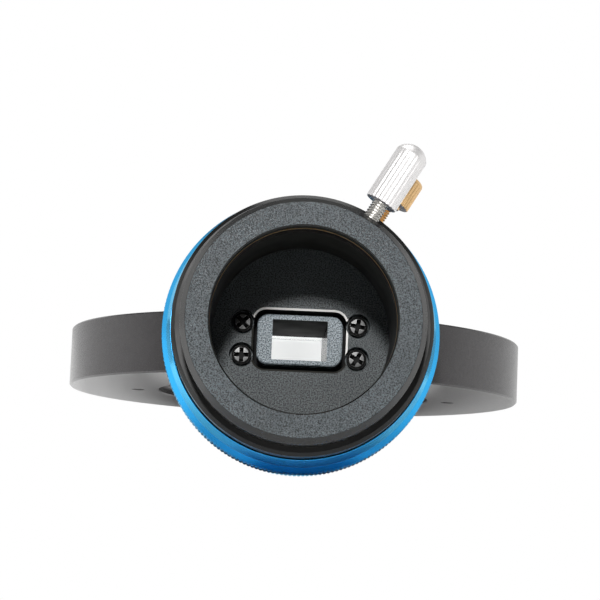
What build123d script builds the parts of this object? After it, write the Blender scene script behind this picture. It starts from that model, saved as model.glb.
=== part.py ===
from build123d import *
import math
import os

# Off-axis guider: a thin round body that sits in a telescope's light path, a prism on a sliding
# stalk, and a guide port with a helical focuser and a 1.25 inch eyepiece clamp.
# Millimetres and degrees. +Z runs up along the telescope's optical axis, and the origin is on that
# axis at the telescope-side face. The guide port leaves the rim along -Y. Depths along the port
# are measured in from its mouth, with the focuser at its rest position.

# Body
body_diameter = 90.0
body_thickness = 11.5
edge_break = 0.3
register_diameter = 54.2
register_depth = 1.2
register_break = 0.2
aperture_diameter = 52.4
ridge_count = 12
ridge_depth = 0.3
face_screw_circle = 62.5
face_screw_count = 6
face_screw_drill = 2.5
face_screw_countersink = 2.8

# Port layout
port_height = body_thickness / 2
mouth_distance = 80.3
seat_distance = 43.0
floor_depth = 31.3
seat_depth = mouth_distance - seat_distance
running_gap = 0.06

# Eyepiece holder and its clamp
bore_diameter = 31.8
bore_break = 0.25
head_length = 7.7
head_diameter = 41.86
head_face_diameter = 40.0
head_bevel_length = 1.8
holder_tube_diameter = 34.4
holder_end = 25.7
spigot_diameter = 38.4
spigot_end = 9.6
clamp_depth = 4.7
clamp_groove_width = 4.2
clamp_groove_diameter = 34.0
compression_ring_width = 3.9
compression_ring_wall = 0.85
compression_ring_split = 2.4
compression_ring_break = 0.2

# Drawtube
drawtube_diameter = 45.16
drawtube_bevel = 0.65
skirt_end = 20.4
skirt_bore = 41.3
guide_groove_width = 2.0
guide_groove_diameter = 42.9
thread_fit_gap = 0.01

# Focuser base
sleeve_start = 14.9
sleeve_bore = holder_tube_diameter + 2 * running_gap
sleeve_diameter = 41.0
flange_start = 30.0
flange_diameter = 47.6
flange_back_bevel = 1.0
trough_diameter = 44.4
trough_end = 35.2
slot_width = 16.8
slot_height = 10.9
slot_corner = 2.2
slot_break = 0.35
guide_pin_depth = 16.6
guide_pin_diameter = 1.8
guide_pin_inner_radius = 17.8
guide_pin_outer_radius = 21.35

# Base screws, M2 with a cross recess
base_screw_x = 10.45
base_screw_z = 3.0
base_screw_turns = {(-1, 1): 45.0, (-1, -1): 0.0, (1, 1): 10.0, (1, -1): 30.0}
base_screw_hole = 2.0
base_screw_clearance_hole = 2.3
base_screw_shank = 1.96
base_screw_end = seat_depth + 4.6
counterbore_diameter = 4.3
counterbore_depth = 1.7
screw_head_diameter = 3.6
screw_head_height = 1.35
screw_head_bevel = 0.3
screw_head_bevel_angle = 40.0
base_screw_tip_gap = 0.4
cross_length = 2.75
cross_width = 0.8
cross_depth = 0.9
cross_taper = 12.0

# Focusing ring, its carrier and what holds them on the base
ring_start = 13.6
ring_bore = 45.52
ring_nose_diameter = 45.84
ring_nose_end = 18.7
ring_land_diameter = 47.44
ring_land_end = 19.8
ring_band_start = 21.6
ring_band_diameter = 49.2
ring_grip_start = 23.3
ring_grip_diameter = 49.5
ring_grip_teeth = 200
ring_grip_depth = 0.2
ring_grip_land = 0.45
ring_end = 29.7
ring_rear_break = 0.3
carrier_start = 27.05
carrier_diameter = 46.56
carrier_bore = sleeve_diameter + 2 * running_gap
carrier_skirt_diameter = 43.8
carrier_end = 35.0
retainer_start = 25.6
retainer_end = 26.6
retainer_groove_diameter = 39.4
retainer_diameter = 43.8
retainer_gap = 5.0
retainer_play = 0.02
slip_washer_end = 27.0
slip_washer_diameter = 44.8

# Prism stalk
collar_width = 15.5
collar_height = 9.1
collar_corner = 2.0
collar_length = 4.0
collar_break = 0.2
shank_width = 11.6
shank_height = 8.4
shank_corner = 0.8
shank_play = 0.1
tunnel_width = 10.0
tunnel_height = 7.3
prism_width = 9.9
prism_leg = 7.2
prism_setback = 25.6
input_window_width = 9.8
input_window_length = 6.8
prism_cover_thickness = 0.7
prism_tip_wall = 1.2
glue_gap = 0.01
lock_hole_y = -40.0
lock_hole_diameter = 3.0
grub_diameter = 2.94
grub_length = 5.0
grub_tip_gap = 0.15
hex_across_flats = 1.5
hex_depth = 1.6

# Thumbscrews, M3
thread_pitch = 0.5
thread_crest_radius = 1.45
thread_root_radius = 1.18
thread_hole_diameter = 3.0
pad_radius = 0.8
pad_gap = 0.1
pad_proud = 0.35
pad_pocket = 1.0
pad_end_gap = 0.05
knob_bond_gap = 0.02
drill_run_in = 1.0
clamp_angle = 30.5
clamp_pad_radius = clamp_groove_diameter / 2
clamp_knob_start = 24.45
clamp_knob_end = 36.2
clamp_knob_diameter = 5.8
clamp_knob_flutes = 20
clamp_knob_dome = 1.9
clamp_stud_grip = 4.0
knob_flute_depth = 0.2
knob_flute_land = 0.5
knob_foot_bevel = 0.25
lock_angle = 30.4
lock_depth = 32.6
lock_pad_radius = carrier_skirt_diameter / 2 + pad_gap
lock_knob_start = 30.7
lock_knob_end = 36.45
lock_knob_diameter = 7.4
lock_knob_flutes = 24
lock_knob_dome = 0.8
lock_neck_length = 0.8
lock_neck_radius = 2.2

# Working planes. In a section plane X runs along the axis and Y is the radius.
PORT_FACE = Plane(origin=(0, 0, port_height), x_dir=(1, 0, 0), z_dir=(0, -1, 0))
PORT_SECTION = Plane(origin=(0, -mouth_distance, port_height), x_dir=(0, 1, 0), z_dir=(1, 0, 0))


def port_plane(depth):
    """Plane across the port at this depth, its X along +X, its Y up, facing out of the mouth."""
    return PORT_FACE.offset(mouth_distance - depth)


def radial_direction(angle):
    """Unit vector out from the port axis, at this angle from straight up towards +X."""
    return Vector(math.sin(math.radians(angle)), 0, math.cos(math.radians(angle)))


def radial_section(depth, angle):
    """Section plane of a screw that points at the port axis; its X is the distance from that axis."""
    outward = radial_direction(angle)
    centre = (0, depth - mouth_distance, port_height)
    return Plane(origin=centre, x_dir=outward, z_dir=outward.cross(Vector(0, 1, 0)))


def radial_plane(depth, angle, radius):
    """Plane across such a screw, this far from the port axis."""
    outward = radial_direction(angle)
    centre = Vector(0, depth - mouth_distance, port_height) + outward * radius
    return Plane(origin=centre, x_dir=(0, 1, 0), z_dir=outward)


def turn(section, outline, mode=Mode.ADD):
    """Revolve a closed outline of (along, radius) points about the section plane's X axis."""
    with BuildSketch(section) as profile:
        with BuildLine():
            Polyline(*outline, close=True)
        make_face()
    revolve(profile.sketch, axis=Axis(section.origin, section.x_dir), mode=mode)


def drill(plane, places, diameter, depth, mode=Mode.SUBTRACT):
    """Round holes (or pins) from this plane against its normal, at these places on it."""
    with BuildSketch(plane) as holes:
        with Locations(*places):
            Circle(diameter / 2)
    extrude(holes.sketch, amount=-depth, mode=mode)


def toothed_outline(radius, depth, teeth, land):
    """Points of a round outline with V grooves; land is the share of each pitch left uncut."""
    pitch = 2 * math.pi / teeth
    points = []
    for i in range(teeth):
        for offset, r in ((-land / 2, radius), (land / 2, radius), (0.5, radius - depth)):
            angle = (i + offset) * pitch
            points.append((r * math.cos(angle), r * math.sin(angle)))
    return points


def flute(plane, radius, depth, teeth, land, length):
    """Cut straight grooves along the active part by keeping only what is inside the outline."""
    with BuildSketch(plane) as outline:
        with BuildLine():
            Polyline(*toothed_outline(radius, depth, teeth, land), close=True)
        make_face()
    extrude(outline.sketch, amount=length, mode=Mode.INTERSECT)


def thread_outline(start, end):
    """(along, radius) points of a screw thread's ridges, from start to about end."""
    points = [(start, thread_root_radius)]
    for i in range(int((end - start) / thread_pitch)):
        points.append((start + (i + 0.5) * thread_pitch, thread_crest_radius))
        points.append((start + (i + 1) * thread_pitch, thread_root_radius))
    return points


def save(part, name):
    part.label = name
    export_step(part, f"parts/{name}.step")


os.makedirs("parts", exist_ok=True)

# Body: disc with a clear opening, a spigot register and M3 holes on both faces, and a milled flat
# on the rim for the port, with a slot behind it for the prism stalk.
ridge_pitch = (body_thickness - 2 * register_depth) / ridge_count
aperture_outline = [
    (0, 0),
    (register_diameter / 2 + register_break, 0),
    (register_diameter / 2, register_break),
    (register_diameter / 2, register_depth),
    (aperture_diameter / 2, register_depth),
]
for i in range(ridge_count):
    ridge_start = register_depth + i * ridge_pitch
    aperture_outline.append((aperture_diameter / 2 - ridge_depth, ridge_start + ridge_pitch / 2))
    aperture_outline.append((aperture_diameter / 2, ridge_start + ridge_pitch))
aperture_outline += [
    (register_diameter / 2, body_thickness - register_depth),
    (register_diameter / 2, body_thickness - register_break),
    (register_diameter / 2 + register_break, body_thickness),
    (0, body_thickness),
]

with BuildPart() as guider_body:
    Cylinder(body_diameter / 2, body_thickness, align=(Align.CENTER, Align.CENTER, Align.MIN))
    chamfer(guider_body.edges().filter_by(GeomType.CIRCLE), edge_break)
    with BuildSketch(Plane.XZ):
        with BuildLine():
            Polyline(*aperture_outline, close=True)
        make_face()
    revolve(axis=Axis.Z, mode=Mode.SUBTRACT)
    with BuildSketch():
        with PolarLocations(face_screw_circle / 2, face_screw_count):
            Circle(face_screw_drill / 2)
    extrude(amount=body_thickness, mode=Mode.SUBTRACT)
    with PolarLocations(face_screw_circle / 2, face_screw_count):
        for z, turn_over in ((0, 0), (body_thickness, 180)):
            with Locations(Location((0, 0, z), (turn_over, 0, 0))):
                Cone(
                    face_screw_countersink / 2,
                    face_screw_drill / 2,
                    register_break,
                    align=(Align.CENTER, Align.CENTER, Align.MIN),
                    mode=Mode.SUBTRACT,
                )
    with BuildSketch(port_plane(seat_depth)):
        Rectangle(body_diameter, 2 * body_thickness)
    extrude(amount=body_diameter, mode=Mode.SUBTRACT)
    with BuildSketch(port_plane(seat_depth)):
        RectangleRounded(shank_width + 2 * shank_play, shank_height + 2 * shank_play, shank_corner)
    extrude(amount=-seat_distance, mode=Mode.SUBTRACT)
    drill(
        port_plane(seat_depth),
        [(x * base_screw_x, z * base_screw_z) for x, z in base_screw_turns],
        base_screw_hole,
        base_screw_end - seat_depth + base_screw_tip_gap,
    )
    with Locations((0, lock_hole_y, port_height)):
        Cylinder(lock_hole_diameter / 2, body_diameter, rotation=(0, 90, 0), mode=Mode.SUBTRACT)
save(guider_body.part, "guider_body")

# Focuser base: floor with the stalk's slot, the guide sleeve, and the flange that holds the lock
# screw, with a trough for the ring carrier's skirt.
with BuildPart() as focuser_base:
    turn(
        PORT_SECTION,
        [
            (floor_depth, 0),
            (floor_depth, sleeve_bore / 2),
            (sleeve_start + edge_break, sleeve_bore / 2),
            (sleeve_start, sleeve_bore / 2 + edge_break),
            (sleeve_start, sleeve_diameter / 2 - edge_break),
            (sleeve_start + edge_break, sleeve_diameter / 2),
            (retainer_start, sleeve_diameter / 2),
            (retainer_start, retainer_groove_diameter / 2),
            (retainer_end, retainer_groove_diameter / 2),
            (retainer_end, sleeve_diameter / 2),
            (trough_end, sleeve_diameter / 2),
            (trough_end, trough_diameter / 2),
            (flange_start, trough_diameter / 2),
            (flange_start, flange_diameter / 2 - edge_break),
            (flange_start + edge_break, flange_diameter / 2),
            (seat_depth - flange_back_bevel, flange_diameter / 2),
            (seat_depth, flange_diameter / 2 - flange_back_bevel),
            (seat_depth, 0),
        ],
    )
    with BuildSketch(port_plane(seat_depth)):
        RectangleRounded(slot_width, slot_height, slot_corner)
    extrude(amount=seat_depth - floor_depth, mode=Mode.SUBTRACT)
    floor_edges = focuser_base.edges().filter_by(Plane.XZ)
    slot_size = slot_width / 2 + slot_break
    slot_edges = floor_edges.filter_by_position(
        Axis.Y, floor_depth - mouth_distance, floor_depth - mouth_distance
    ).filter_by_position(Axis.X, -slot_size, slot_size)
    chamfer(slot_edges.filter_by(lambda edge: edge.length < slot_width), slot_break)
    screw_places = [(x * base_screw_x, z * base_screw_z) for x, z in base_screw_turns]
    drill(port_plane(floor_depth), screw_places, counterbore_diameter, counterbore_depth)
    drill(port_plane(floor_depth), screw_places, base_screw_clearance_hole, seat_depth - floor_depth)
    drill(
        radial_plane(lock_depth, lock_angle, flange_diameter / 2 + drill_run_in),
        [(0, 0)],
        thread_hole_diameter,
        (flange_diameter - trough_diameter) / 2 + 2 * drill_run_in,
    )
    for side in (90, -90):
        drill(
            radial_plane(guide_pin_depth, side, sleeve_diameter / 2 + drill_run_in),
            [(0, 0)],
            guide_pin_diameter,
            sleeve_diameter / 2 + drill_run_in - guide_pin_inner_radius,
        )
save(focuser_base.part, "focuser_base")

# Four M2 screws that hold the base on the body's flat, each left at its own angle.
with BuildPart() as base_screws:
    head_depth = floor_depth + counterbore_depth - screw_head_height
    for (x, z), angle in base_screw_turns.items():
        place = (x * base_screw_x, z * base_screw_z)
        drill(
            port_plane(head_depth + screw_head_bevel),
            [place],
            screw_head_diameter,
            screw_head_height - screw_head_bevel,
            mode=Mode.ADD,
        )
        with BuildSketch(port_plane(head_depth + screw_head_bevel)) as head_top:
            with Locations(place):
                Circle(screw_head_diameter / 2)
        extrude(head_top.sketch, amount=screw_head_bevel, taper=screw_head_bevel_angle)
        drill(
            port_plane(head_depth + screw_head_height),
            [place],
            base_screw_shank,
            base_screw_end - head_depth - screw_head_height,
            mode=Mode.ADD,
        )
        with BuildSketch(port_plane(head_depth)) as cross:
            with Locations(Location((place[0], place[1], 0), (0, 0, angle))):
                Rectangle(cross_length, cross_width)
                Rectangle(cross_width, cross_length)
        extrude(cross.sketch, amount=-cross_depth, taper=cross_taper, mode=Mode.SUBTRACT)
save(base_screws.part, "base_screws")

# Two pins in the sleeve that stop the drawtube from turning.
with BuildPart() as guide_pins:
    for side in (90, -90):
        drill(
            radial_plane(guide_pin_depth, side, guide_pin_outer_radius),
            [(0, 0)],
            guide_pin_diameter,
            guide_pin_outer_radius - guide_pin_inner_radius,
            mode=Mode.ADD,
        )
save(guide_pins.part, "guide_pins")

# Snap ring and slip washer that keep the focusing ring's carrier on the sleeve.
with BuildPart() as ring_retainer:
    turn(
        PORT_SECTION,
        [
            (retainer_start + retainer_play, retainer_groove_diameter / 2 + retainer_play),
            (retainer_start + retainer_play, retainer_diameter / 2),
            (retainer_end - retainer_play, retainer_diameter / 2),
            (retainer_end - retainer_play, retainer_groove_diameter / 2 + retainer_play),
        ],
    )
    with BuildSketch(port_plane(retainer_end)):
        with Locations((0, -sleeve_diameter / 2)):
            Rectangle(retainer_gap, 2 * (retainer_diameter - retainer_groove_diameter))
    extrude(amount=retainer_end - retainer_start, mode=Mode.SUBTRACT)
save(ring_retainer.part, "ring_retainer")

with BuildPart() as slip_washer:
    turn(
        PORT_SECTION,
        [
            (retainer_end, sleeve_diameter / 2 + running_gap),
            (retainer_end, slip_washer_diameter / 2),
            (slip_washer_end, slip_washer_diameter / 2),
            (slip_washer_end, sleeve_diameter / 2 + running_gap),
        ],
    )
save(slip_washer.part, "slip_washer")

# Carrier: turns on the sleeve inside the focusing ring; its skirt runs back into the trough.
with BuildPart() as ring_carrier:
    turn(
        PORT_SECTION,
        [
            (carrier_start, carrier_bore / 2),
            (carrier_start, carrier_diameter / 2),
            (ring_end, carrier_diameter / 2),
            (ring_end, carrier_skirt_diameter / 2),
            (carrier_end, carrier_skirt_diameter / 2),
            (carrier_end, carrier_bore / 2),
        ],
    )
save(ring_carrier.part, "ring_carrier")

# Focusing ring: two smooth cones with a narrow land between them, then a straight-knurled grip.
with BuildPart() as focusing_ring:
    turn(
        PORT_SECTION,
        [
            (ring_start, ring_bore / 2),
            (ring_start, ring_nose_diameter / 2),
            (ring_nose_end, ring_land_diameter / 2),
            (ring_land_end, ring_land_diameter / 2),
            (ring_band_start, ring_band_diameter / 2),
            (ring_grip_start, ring_band_diameter / 2),
            (ring_grip_start, ring_grip_diameter / 2),
            (ring_end - ring_rear_break, ring_grip_diameter / 2),
            (ring_end, ring_grip_diameter / 2 - ring_rear_break),
            (ring_end, carrier_diameter / 2 + thread_fit_gap),
            (carrier_start - retainer_play, carrier_diameter / 2 + thread_fit_gap),
            (carrier_start - retainer_play, ring_bore / 2),
        ],
    )
    with BuildSketch(port_plane(ring_end)) as knurl:
        Circle(ring_grip_diameter / 2 + ring_grip_depth)
        with BuildLine():
            teeth = toothed_outline(
                ring_grip_diameter / 2, ring_grip_depth, ring_grip_teeth, ring_grip_land
            )
            Polyline(*teeth, close=True)
        make_face(mode=Mode.SUBTRACT)
    extrude(knurl.sketch, amount=ring_end - ring_grip_start, mode=Mode.SUBTRACT)
save(focusing_ring.part, "focusing_ring")

# Drawtube: the part of the focuser that the ring's thread drives in and out.
with BuildPart() as drawtube:
    turn(
        PORT_SECTION,
        [
            (head_length, spigot_diameter / 2 + thread_fit_gap),
            (head_length, drawtube_diameter / 2 - drawtube_bevel),
            (head_length + drawtube_bevel, drawtube_diameter / 2),
            (skirt_end, drawtube_diameter / 2),
            (skirt_end, skirt_bore / 2),
            (spigot_end, skirt_bore / 2),
            (spigot_end, spigot_diameter / 2 + thread_fit_gap),
        ],
    )
    with BuildSketch(port_plane(skirt_end)):
        Rectangle(guide_groove_diameter, guide_groove_width)
        Rectangle(spigot_diameter, guide_groove_width, mode=Mode.SUBTRACT)
    extrude(amount=skirt_end - spigot_end, mode=Mode.SUBTRACT)
save(drawtube.part, "drawtube")

# Eyepiece holder: clamp head and the inner tube, screwed into the drawtube's front wall.
clamp_groove_start = clamp_depth - clamp_groove_width / 2
clamp_groove_end = clamp_depth + clamp_groove_width / 2
with BuildPart() as eyepiece_holder:
    turn(
        PORT_SECTION,
        [
            (0, bore_diameter / 2 + bore_break),
            (0, head_face_diameter / 2),
            (head_bevel_length, head_diameter / 2),
            (head_length, head_diameter / 2),
            (head_length, spigot_diameter / 2),
            (spigot_end, spigot_diameter / 2),
            (spigot_end, holder_tube_diameter / 2),
            (holder_end, holder_tube_diameter / 2),
            (holder_end, bore_diameter / 2),
            (clamp_groove_end, bore_diameter / 2),
            (clamp_groove_end, clamp_groove_diameter / 2),
            (clamp_groove_start, clamp_groove_diameter / 2),
            (clamp_groove_start, bore_diameter / 2),
            (bore_break, bore_diameter / 2),
        ],
    )
    drill(
        radial_plane(clamp_depth, clamp_angle, head_diameter / 2 + drill_run_in),
        [(0, 0)],
        thread_hole_diameter,
        (head_diameter - clamp_groove_diameter) / 2 + 2 * drill_run_in,
    )
save(eyepiece_holder.part, "eyepiece_holder")

# Split brass ring that the clamp screw squeezes onto the eyepiece.
compression_ring_start = clamp_depth - compression_ring_width / 2
compression_ring_end = clamp_depth + compression_ring_width / 2
with BuildPart() as compression_ring:
    turn(
        PORT_SECTION,
        [
            (compression_ring_start, bore_diameter / 2 + compression_ring_break),
            (compression_ring_start, bore_diameter / 2 + compression_ring_wall),
            (compression_ring_end, bore_diameter / 2 + compression_ring_wall),
            (compression_ring_end, bore_diameter / 2),
            (compression_ring_start + compression_ring_break, bore_diameter / 2),
        ],
    )
    with BuildSketch(radial_plane(clamp_depth, clamp_angle + 180, 0)):
        Rectangle(2 * compression_ring_width, compression_ring_split)
    extrude(amount=bore_diameter, mode=Mode.SUBTRACT)
save(compression_ring.part, "compression_ring")

# Prism stalk: collar in the base's slot, hollow shank through the body, sloped end for the prism.
prism_face_depth = floor_depth + prism_setback
stalk_tip_depth = prism_face_depth + prism_leg + prism_tip_wall
collar_end = floor_depth + collar_length


def slope_outline(near, far):
    """Band parallel to the prism's long face, between two distances behind it."""
    near_shift = near * math.sqrt(2)
    far_shift = far * math.sqrt(2)
    return [
        (prism_face_depth - prism_leg / 2 + near_shift, prism_leg),
        (prism_face_depth + 3 * prism_leg / 2 + near_shift, -prism_leg),
        (prism_face_depth + 3 * prism_leg / 2 + far_shift, -prism_leg),
        (prism_face_depth - prism_leg / 2 + far_shift, prism_leg),
    ]


with BuildPart() as prism_stalk:
    with BuildSketch(port_plane(collar_end)):
        RectangleRounded(collar_width, collar_height, collar_corner)
    extrude(amount=collar_length)
    chamfer(prism_stalk.faces().sort_by(Axis.Y)[0].edges(), collar_break)
    with BuildSketch(port_plane(collar_end)):
        RectangleRounded(shank_width, shank_height, shank_corner)
    extrude(amount=-(stalk_tip_depth - collar_end))
    with BuildSketch(port_plane(floor_depth)):
        Rectangle(tunnel_width, tunnel_height)
    extrude(amount=-(stalk_tip_depth - floor_depth), mode=Mode.SUBTRACT)
    with BuildSketch(PORT_SECTION):
        with BuildLine():
            Polyline(*slope_outline(0, prism_leg), close=True)
        make_face()
    extrude(amount=shank_width, both=True, mode=Mode.SUBTRACT)
    with BuildSketch(Plane.XY):
        with Locations((0, prism_face_depth - mouth_distance)):
            Rectangle(input_window_width, input_window_length, align=(Align.CENTER, Align.MIN))
    extrude(amount=port_height, mode=Mode.SUBTRACT)
save(prism_stalk.part, "prism_stalk")

# Right-angle prism: light comes in at its lower face and leaves along the port.
with BuildPart() as prism:
    with BuildSketch(PORT_SECTION):
        with BuildLine():
            Polyline(
                (prism_face_depth, -prism_leg / 2),
                (prism_face_depth, prism_leg / 2),
                (prism_face_depth + prism_leg, -prism_leg / 2),
                close=True,
            )
        make_face()
    extrude(amount=prism_width / 2, both=True)
save(prism.part, "prism")

# Cover bonded over the prism's long face and the stalk's sloped end.
with BuildPart() as prism_cover:
    with BuildSketch(port_plane(floor_depth)):
        RectangleRounded(shank_width, shank_height, shank_corner)
    extrude(amount=-2 * prism_setback)
    with BuildSketch(PORT_SECTION):
        with BuildLine():
            Polyline(*slope_outline(glue_gap, prism_cover_thickness), close=True)
        make_face()
    extrude(amount=shank_width, both=True, mode=Mode.INTERSECT)
save(prism_cover.part, "prism_cover")

# Two grub screws in the body that lock the stalk from its sides.
with BuildPart() as stalk_lock_screws:
    grub_start = shank_width / 2 + grub_tip_gap
    for side in (1, -1):
        end_plane = Plane(
            origin=(side * (grub_start + grub_length), lock_hole_y, port_height),
            x_dir=(0, 1, 0),
            z_dir=(side, 0, 0),
        )
        drill(end_plane, [(0, 0)], grub_diameter, grub_length, mode=Mode.ADD)
        with BuildSketch(end_plane) as hex_socket:
            RegularPolygon(hex_across_flats / 2, 6, major_radius=False)
        extrude(hex_socket.sketch, amount=-hex_depth, mode=Mode.SUBTRACT)
save(stalk_lock_screws.part, "stalk_lock_screws")


def pad_outline(tip):
    """Nylon pad that stands proud of the stud's pocket."""
    end = tip + pad_proud + pad_pocket - pad_end_gap
    return [(tip, 0), (tip, pad_radius), (end, pad_radius), (end, 0)]


def stud_outline(tip, end):
    """Threaded stud with a pocket in its tip for the pad."""
    start = tip + pad_proud
    pocket_radius = pad_radius + running_gap
    pocket = [(start + pad_pocket, 0), (start + pad_pocket, pocket_radius), (start, pocket_radius)]
    return pocket + thread_outline(start, end) + [(end, thread_root_radius), (end, 0)]


# Clamp thumbscrew: pad, threaded stud and fluted knob.
clamp_section = radial_section(clamp_depth, clamp_angle)
clamp_stud_end = clamp_knob_start + clamp_stud_grip
with BuildPart() as clamp_screw_pad:
    turn(clamp_section, pad_outline(clamp_pad_radius))
save(clamp_screw_pad.part, "clamp_screw_pad")

with BuildPart() as clamp_screw_stud:
    turn(clamp_section, stud_outline(clamp_pad_radius, clamp_stud_end))
save(clamp_screw_stud.part, "clamp_screw_stud")

with BuildPart() as clamp_screw_knob:
    knob_radius = clamp_knob_diameter / 2
    dome_radius = (knob_radius**2 + clamp_knob_dome**2) / (2 * clamp_knob_dome)
    dome_sweep = math.degrees(math.asin(knob_radius / dome_radius))
    with BuildSketch(clamp_section):
        with BuildLine():
            dome = CenterArc((clamp_knob_end - dome_radius, 0), dome_radius, 0, dome_sweep)
            Polyline(
                dome @ 1,
                (clamp_knob_start + knob_foot_bevel, knob_radius),
                (clamp_knob_start, knob_radius - knob_foot_bevel),
                (clamp_knob_start, thread_crest_radius + knob_bond_gap),
                (clamp_stud_end, thread_crest_radius + knob_bond_gap),
                (clamp_stud_end, 0),
                dome @ 0,
            )
        make_face()
    revolve(axis=Axis(clamp_section.origin, clamp_section.x_dir))
    flute(
        radial_plane(clamp_depth, clamp_angle, clamp_knob_start),
        knob_radius,
        knob_flute_depth,
        clamp_knob_flutes,
        knob_flute_land,
        clamp_knob_end - clamp_knob_start,
    )
save(clamp_screw_knob.part, "clamp_screw_knob")

# Focus lock thumbscrew: pad and one-piece brass screw.
lock_section = radial_section(lock_depth, lock_angle)
with BuildPart() as lock_screw_pad:
    turn(lock_section, pad_outline(lock_pad_radius))
save(lock_screw_pad.part, "lock_screw_pad")

with BuildPart() as lock_screw:
    knob_radius = lock_knob_diameter / 2
    turn(
        lock_section,
        [
            (lock_knob_start, 0),
            (lock_knob_start, knob_radius - knob_foot_bevel),
            (lock_knob_start + knob_foot_bevel, knob_radius),
            (lock_knob_end - lock_knob_dome, knob_radius),
            (lock_knob_end, knob_radius - lock_knob_dome),
            (lock_knob_end, 0),
        ],
    )
    flute(
        radial_plane(lock_depth, lock_angle, lock_knob_start),
        knob_radius,
        knob_flute_depth,
        lock_knob_flutes,
        knob_flute_land,
        lock_knob_end - lock_knob_start,
    )
    turn(
        lock_section,
        [
            (lock_knob_start - lock_neck_length, 0),
            (lock_knob_start - lock_neck_length, lock_neck_radius - knob_foot_bevel),
            (lock_knob_start - lock_neck_length + knob_foot_bevel, lock_neck_radius),
            (lock_knob_start, lock_neck_radius),
            (lock_knob_start, 0),
        ],
    )
    turn(lock_section, stud_outline(lock_pad_radius, lock_knob_start - lock_neck_length))
save(lock_screw.part, "lock_screw")
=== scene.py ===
import math

import bmesh
import bpy
from mathutils import Matrix, Vector


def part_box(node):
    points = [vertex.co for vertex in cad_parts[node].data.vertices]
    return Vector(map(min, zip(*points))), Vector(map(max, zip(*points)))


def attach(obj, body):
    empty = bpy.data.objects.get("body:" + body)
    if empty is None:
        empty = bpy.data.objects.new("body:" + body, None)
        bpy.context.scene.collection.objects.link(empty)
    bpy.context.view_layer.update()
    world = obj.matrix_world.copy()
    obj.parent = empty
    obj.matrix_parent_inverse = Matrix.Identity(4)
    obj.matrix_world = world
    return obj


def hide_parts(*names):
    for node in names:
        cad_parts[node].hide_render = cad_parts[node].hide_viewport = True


# Looks of the off-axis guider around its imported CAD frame. Lengths in this file's profiles are in
# millimetres: depths run in from the guide port's mouth, radii out from the port's axis.

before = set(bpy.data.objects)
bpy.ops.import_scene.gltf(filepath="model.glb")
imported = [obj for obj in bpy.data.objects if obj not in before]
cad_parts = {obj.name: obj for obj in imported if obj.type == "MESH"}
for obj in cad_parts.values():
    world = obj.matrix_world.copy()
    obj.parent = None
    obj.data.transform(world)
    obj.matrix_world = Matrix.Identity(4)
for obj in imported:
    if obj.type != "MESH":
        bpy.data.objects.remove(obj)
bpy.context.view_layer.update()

MM = 0.001
holder_low, holder_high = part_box("eyepiece_holder")
body_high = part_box("guider_body")[1]
base_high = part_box("focuser_base")[1]
PORT_Z = (holder_low.z + holder_high.z) / 2
MOUTH = Vector((0, holder_low.y, PORT_Z))
BODY_RADIUS = body_high.x / MM
BODY_THICKNESS = body_high.z / MM
SEAT_DEPTH = (base_high.y - holder_low.y) / MM
HOLDER_END = (holder_high.y - holder_low.y) / MM
RECTANGLE_STEPS = 6
SHARP_ANGLE = 32
BODY_SEGMENTS, TUBE_SEGMENTS, BASE_SEGMENTS, KNOB_SEGMENTS = 288, 256, 192, 240
HOLE_SEGMENTS, SMALL_HOLE_SEGMENTS, STUD_SEGMENTS = 48, 32, 40


# ---------------------------------------------------------------- mesh tools

class Axis:
    """A line to turn profiles about: depth runs along it, angle 0 points along side."""

    def __init__(self, origin, along, side):
        self.origin = Vector(origin)
        self.along = Vector(along).normalized()
        self.side = Vector(side).normalized()
        self.cross = self.along.cross(self.side)

    def point(self, depth, radius, angle):
        around = self.side * math.cos(angle) + self.cross * math.sin(angle)
        return self.origin + (self.along * depth + around * radius) * MM


def radial_axis(depth, angle):
    """Axis of a thumbscrew: out from the port's axis, at this angle from straight up towards +X."""
    along = Vector((math.sin(math.radians(angle)), 0, math.cos(math.radians(angle))))
    return Axis(MOUTH + Vector((0, depth * MM, 0)), along, (0, 1, 0))


PORT = Axis(MOUTH, (0, 1, 0), (0, 0, 1))
OPTICAL = Axis((0, 0, 0), (0, 0, 1), (1, 0, 0))


def depth_of(point):
    """Depth of a point behind the port's mouth, in millimetres."""
    return (point.y - MOUTH.y) / MM


def radius_of(point):
    """Distance of a point from the port's axis, in millimetres."""
    return math.hypot(point.x, point.z - PORT_Z) / MM


def rounded(corners, steps):
    """Points of a closed outline of (depth, radius, fillet) corners, with arcs at the corners."""
    points = []
    for i, (x, y, fillet) in enumerate(corners):
        here = Vector((x, y))
        before = Vector(corners[i - 1][:2]) - here
        after = Vector(corners[(i + 1) % len(corners)][:2]) - here
        turn = before.angle(after)
        if fillet <= 0 or turn > math.pi - 0.01:
            points.append((x, y))
            continue
        reach = min(fillet / math.tan(turn / 2), 0.45 * before.length, 0.45 * after.length)
        radius = reach * math.tan(turn / 2)
        middle = (before.normalized() + after.normalized()).normalized()
        centre = here + middle * (radius / math.sin(turn / 2))
        start = here + before.normalized() * reach - centre
        end = here + after.normalized() * reach - centre
        for k in range(steps + 1):
            spoke = start.lerp(end, k / steps).normalized() * radius
            points.append(tuple(centre + spoke))
    return points


def make_object(name, bm):
    """Object with this mesh, its double points merged and its faces turned out."""
    bmesh.ops.remove_doubles(bm, verts=bm.verts, dist=1e-7)
    bmesh.ops.recalc_face_normals(bm, faces=bm.faces)
    mesh = bpy.data.meshes.new(name)
    bm.to_mesh(mesh)
    bm.free()
    obj = bpy.data.objects.new(name, mesh)
    bpy.context.scene.collection.objects.link(obj)
    return obj


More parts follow.
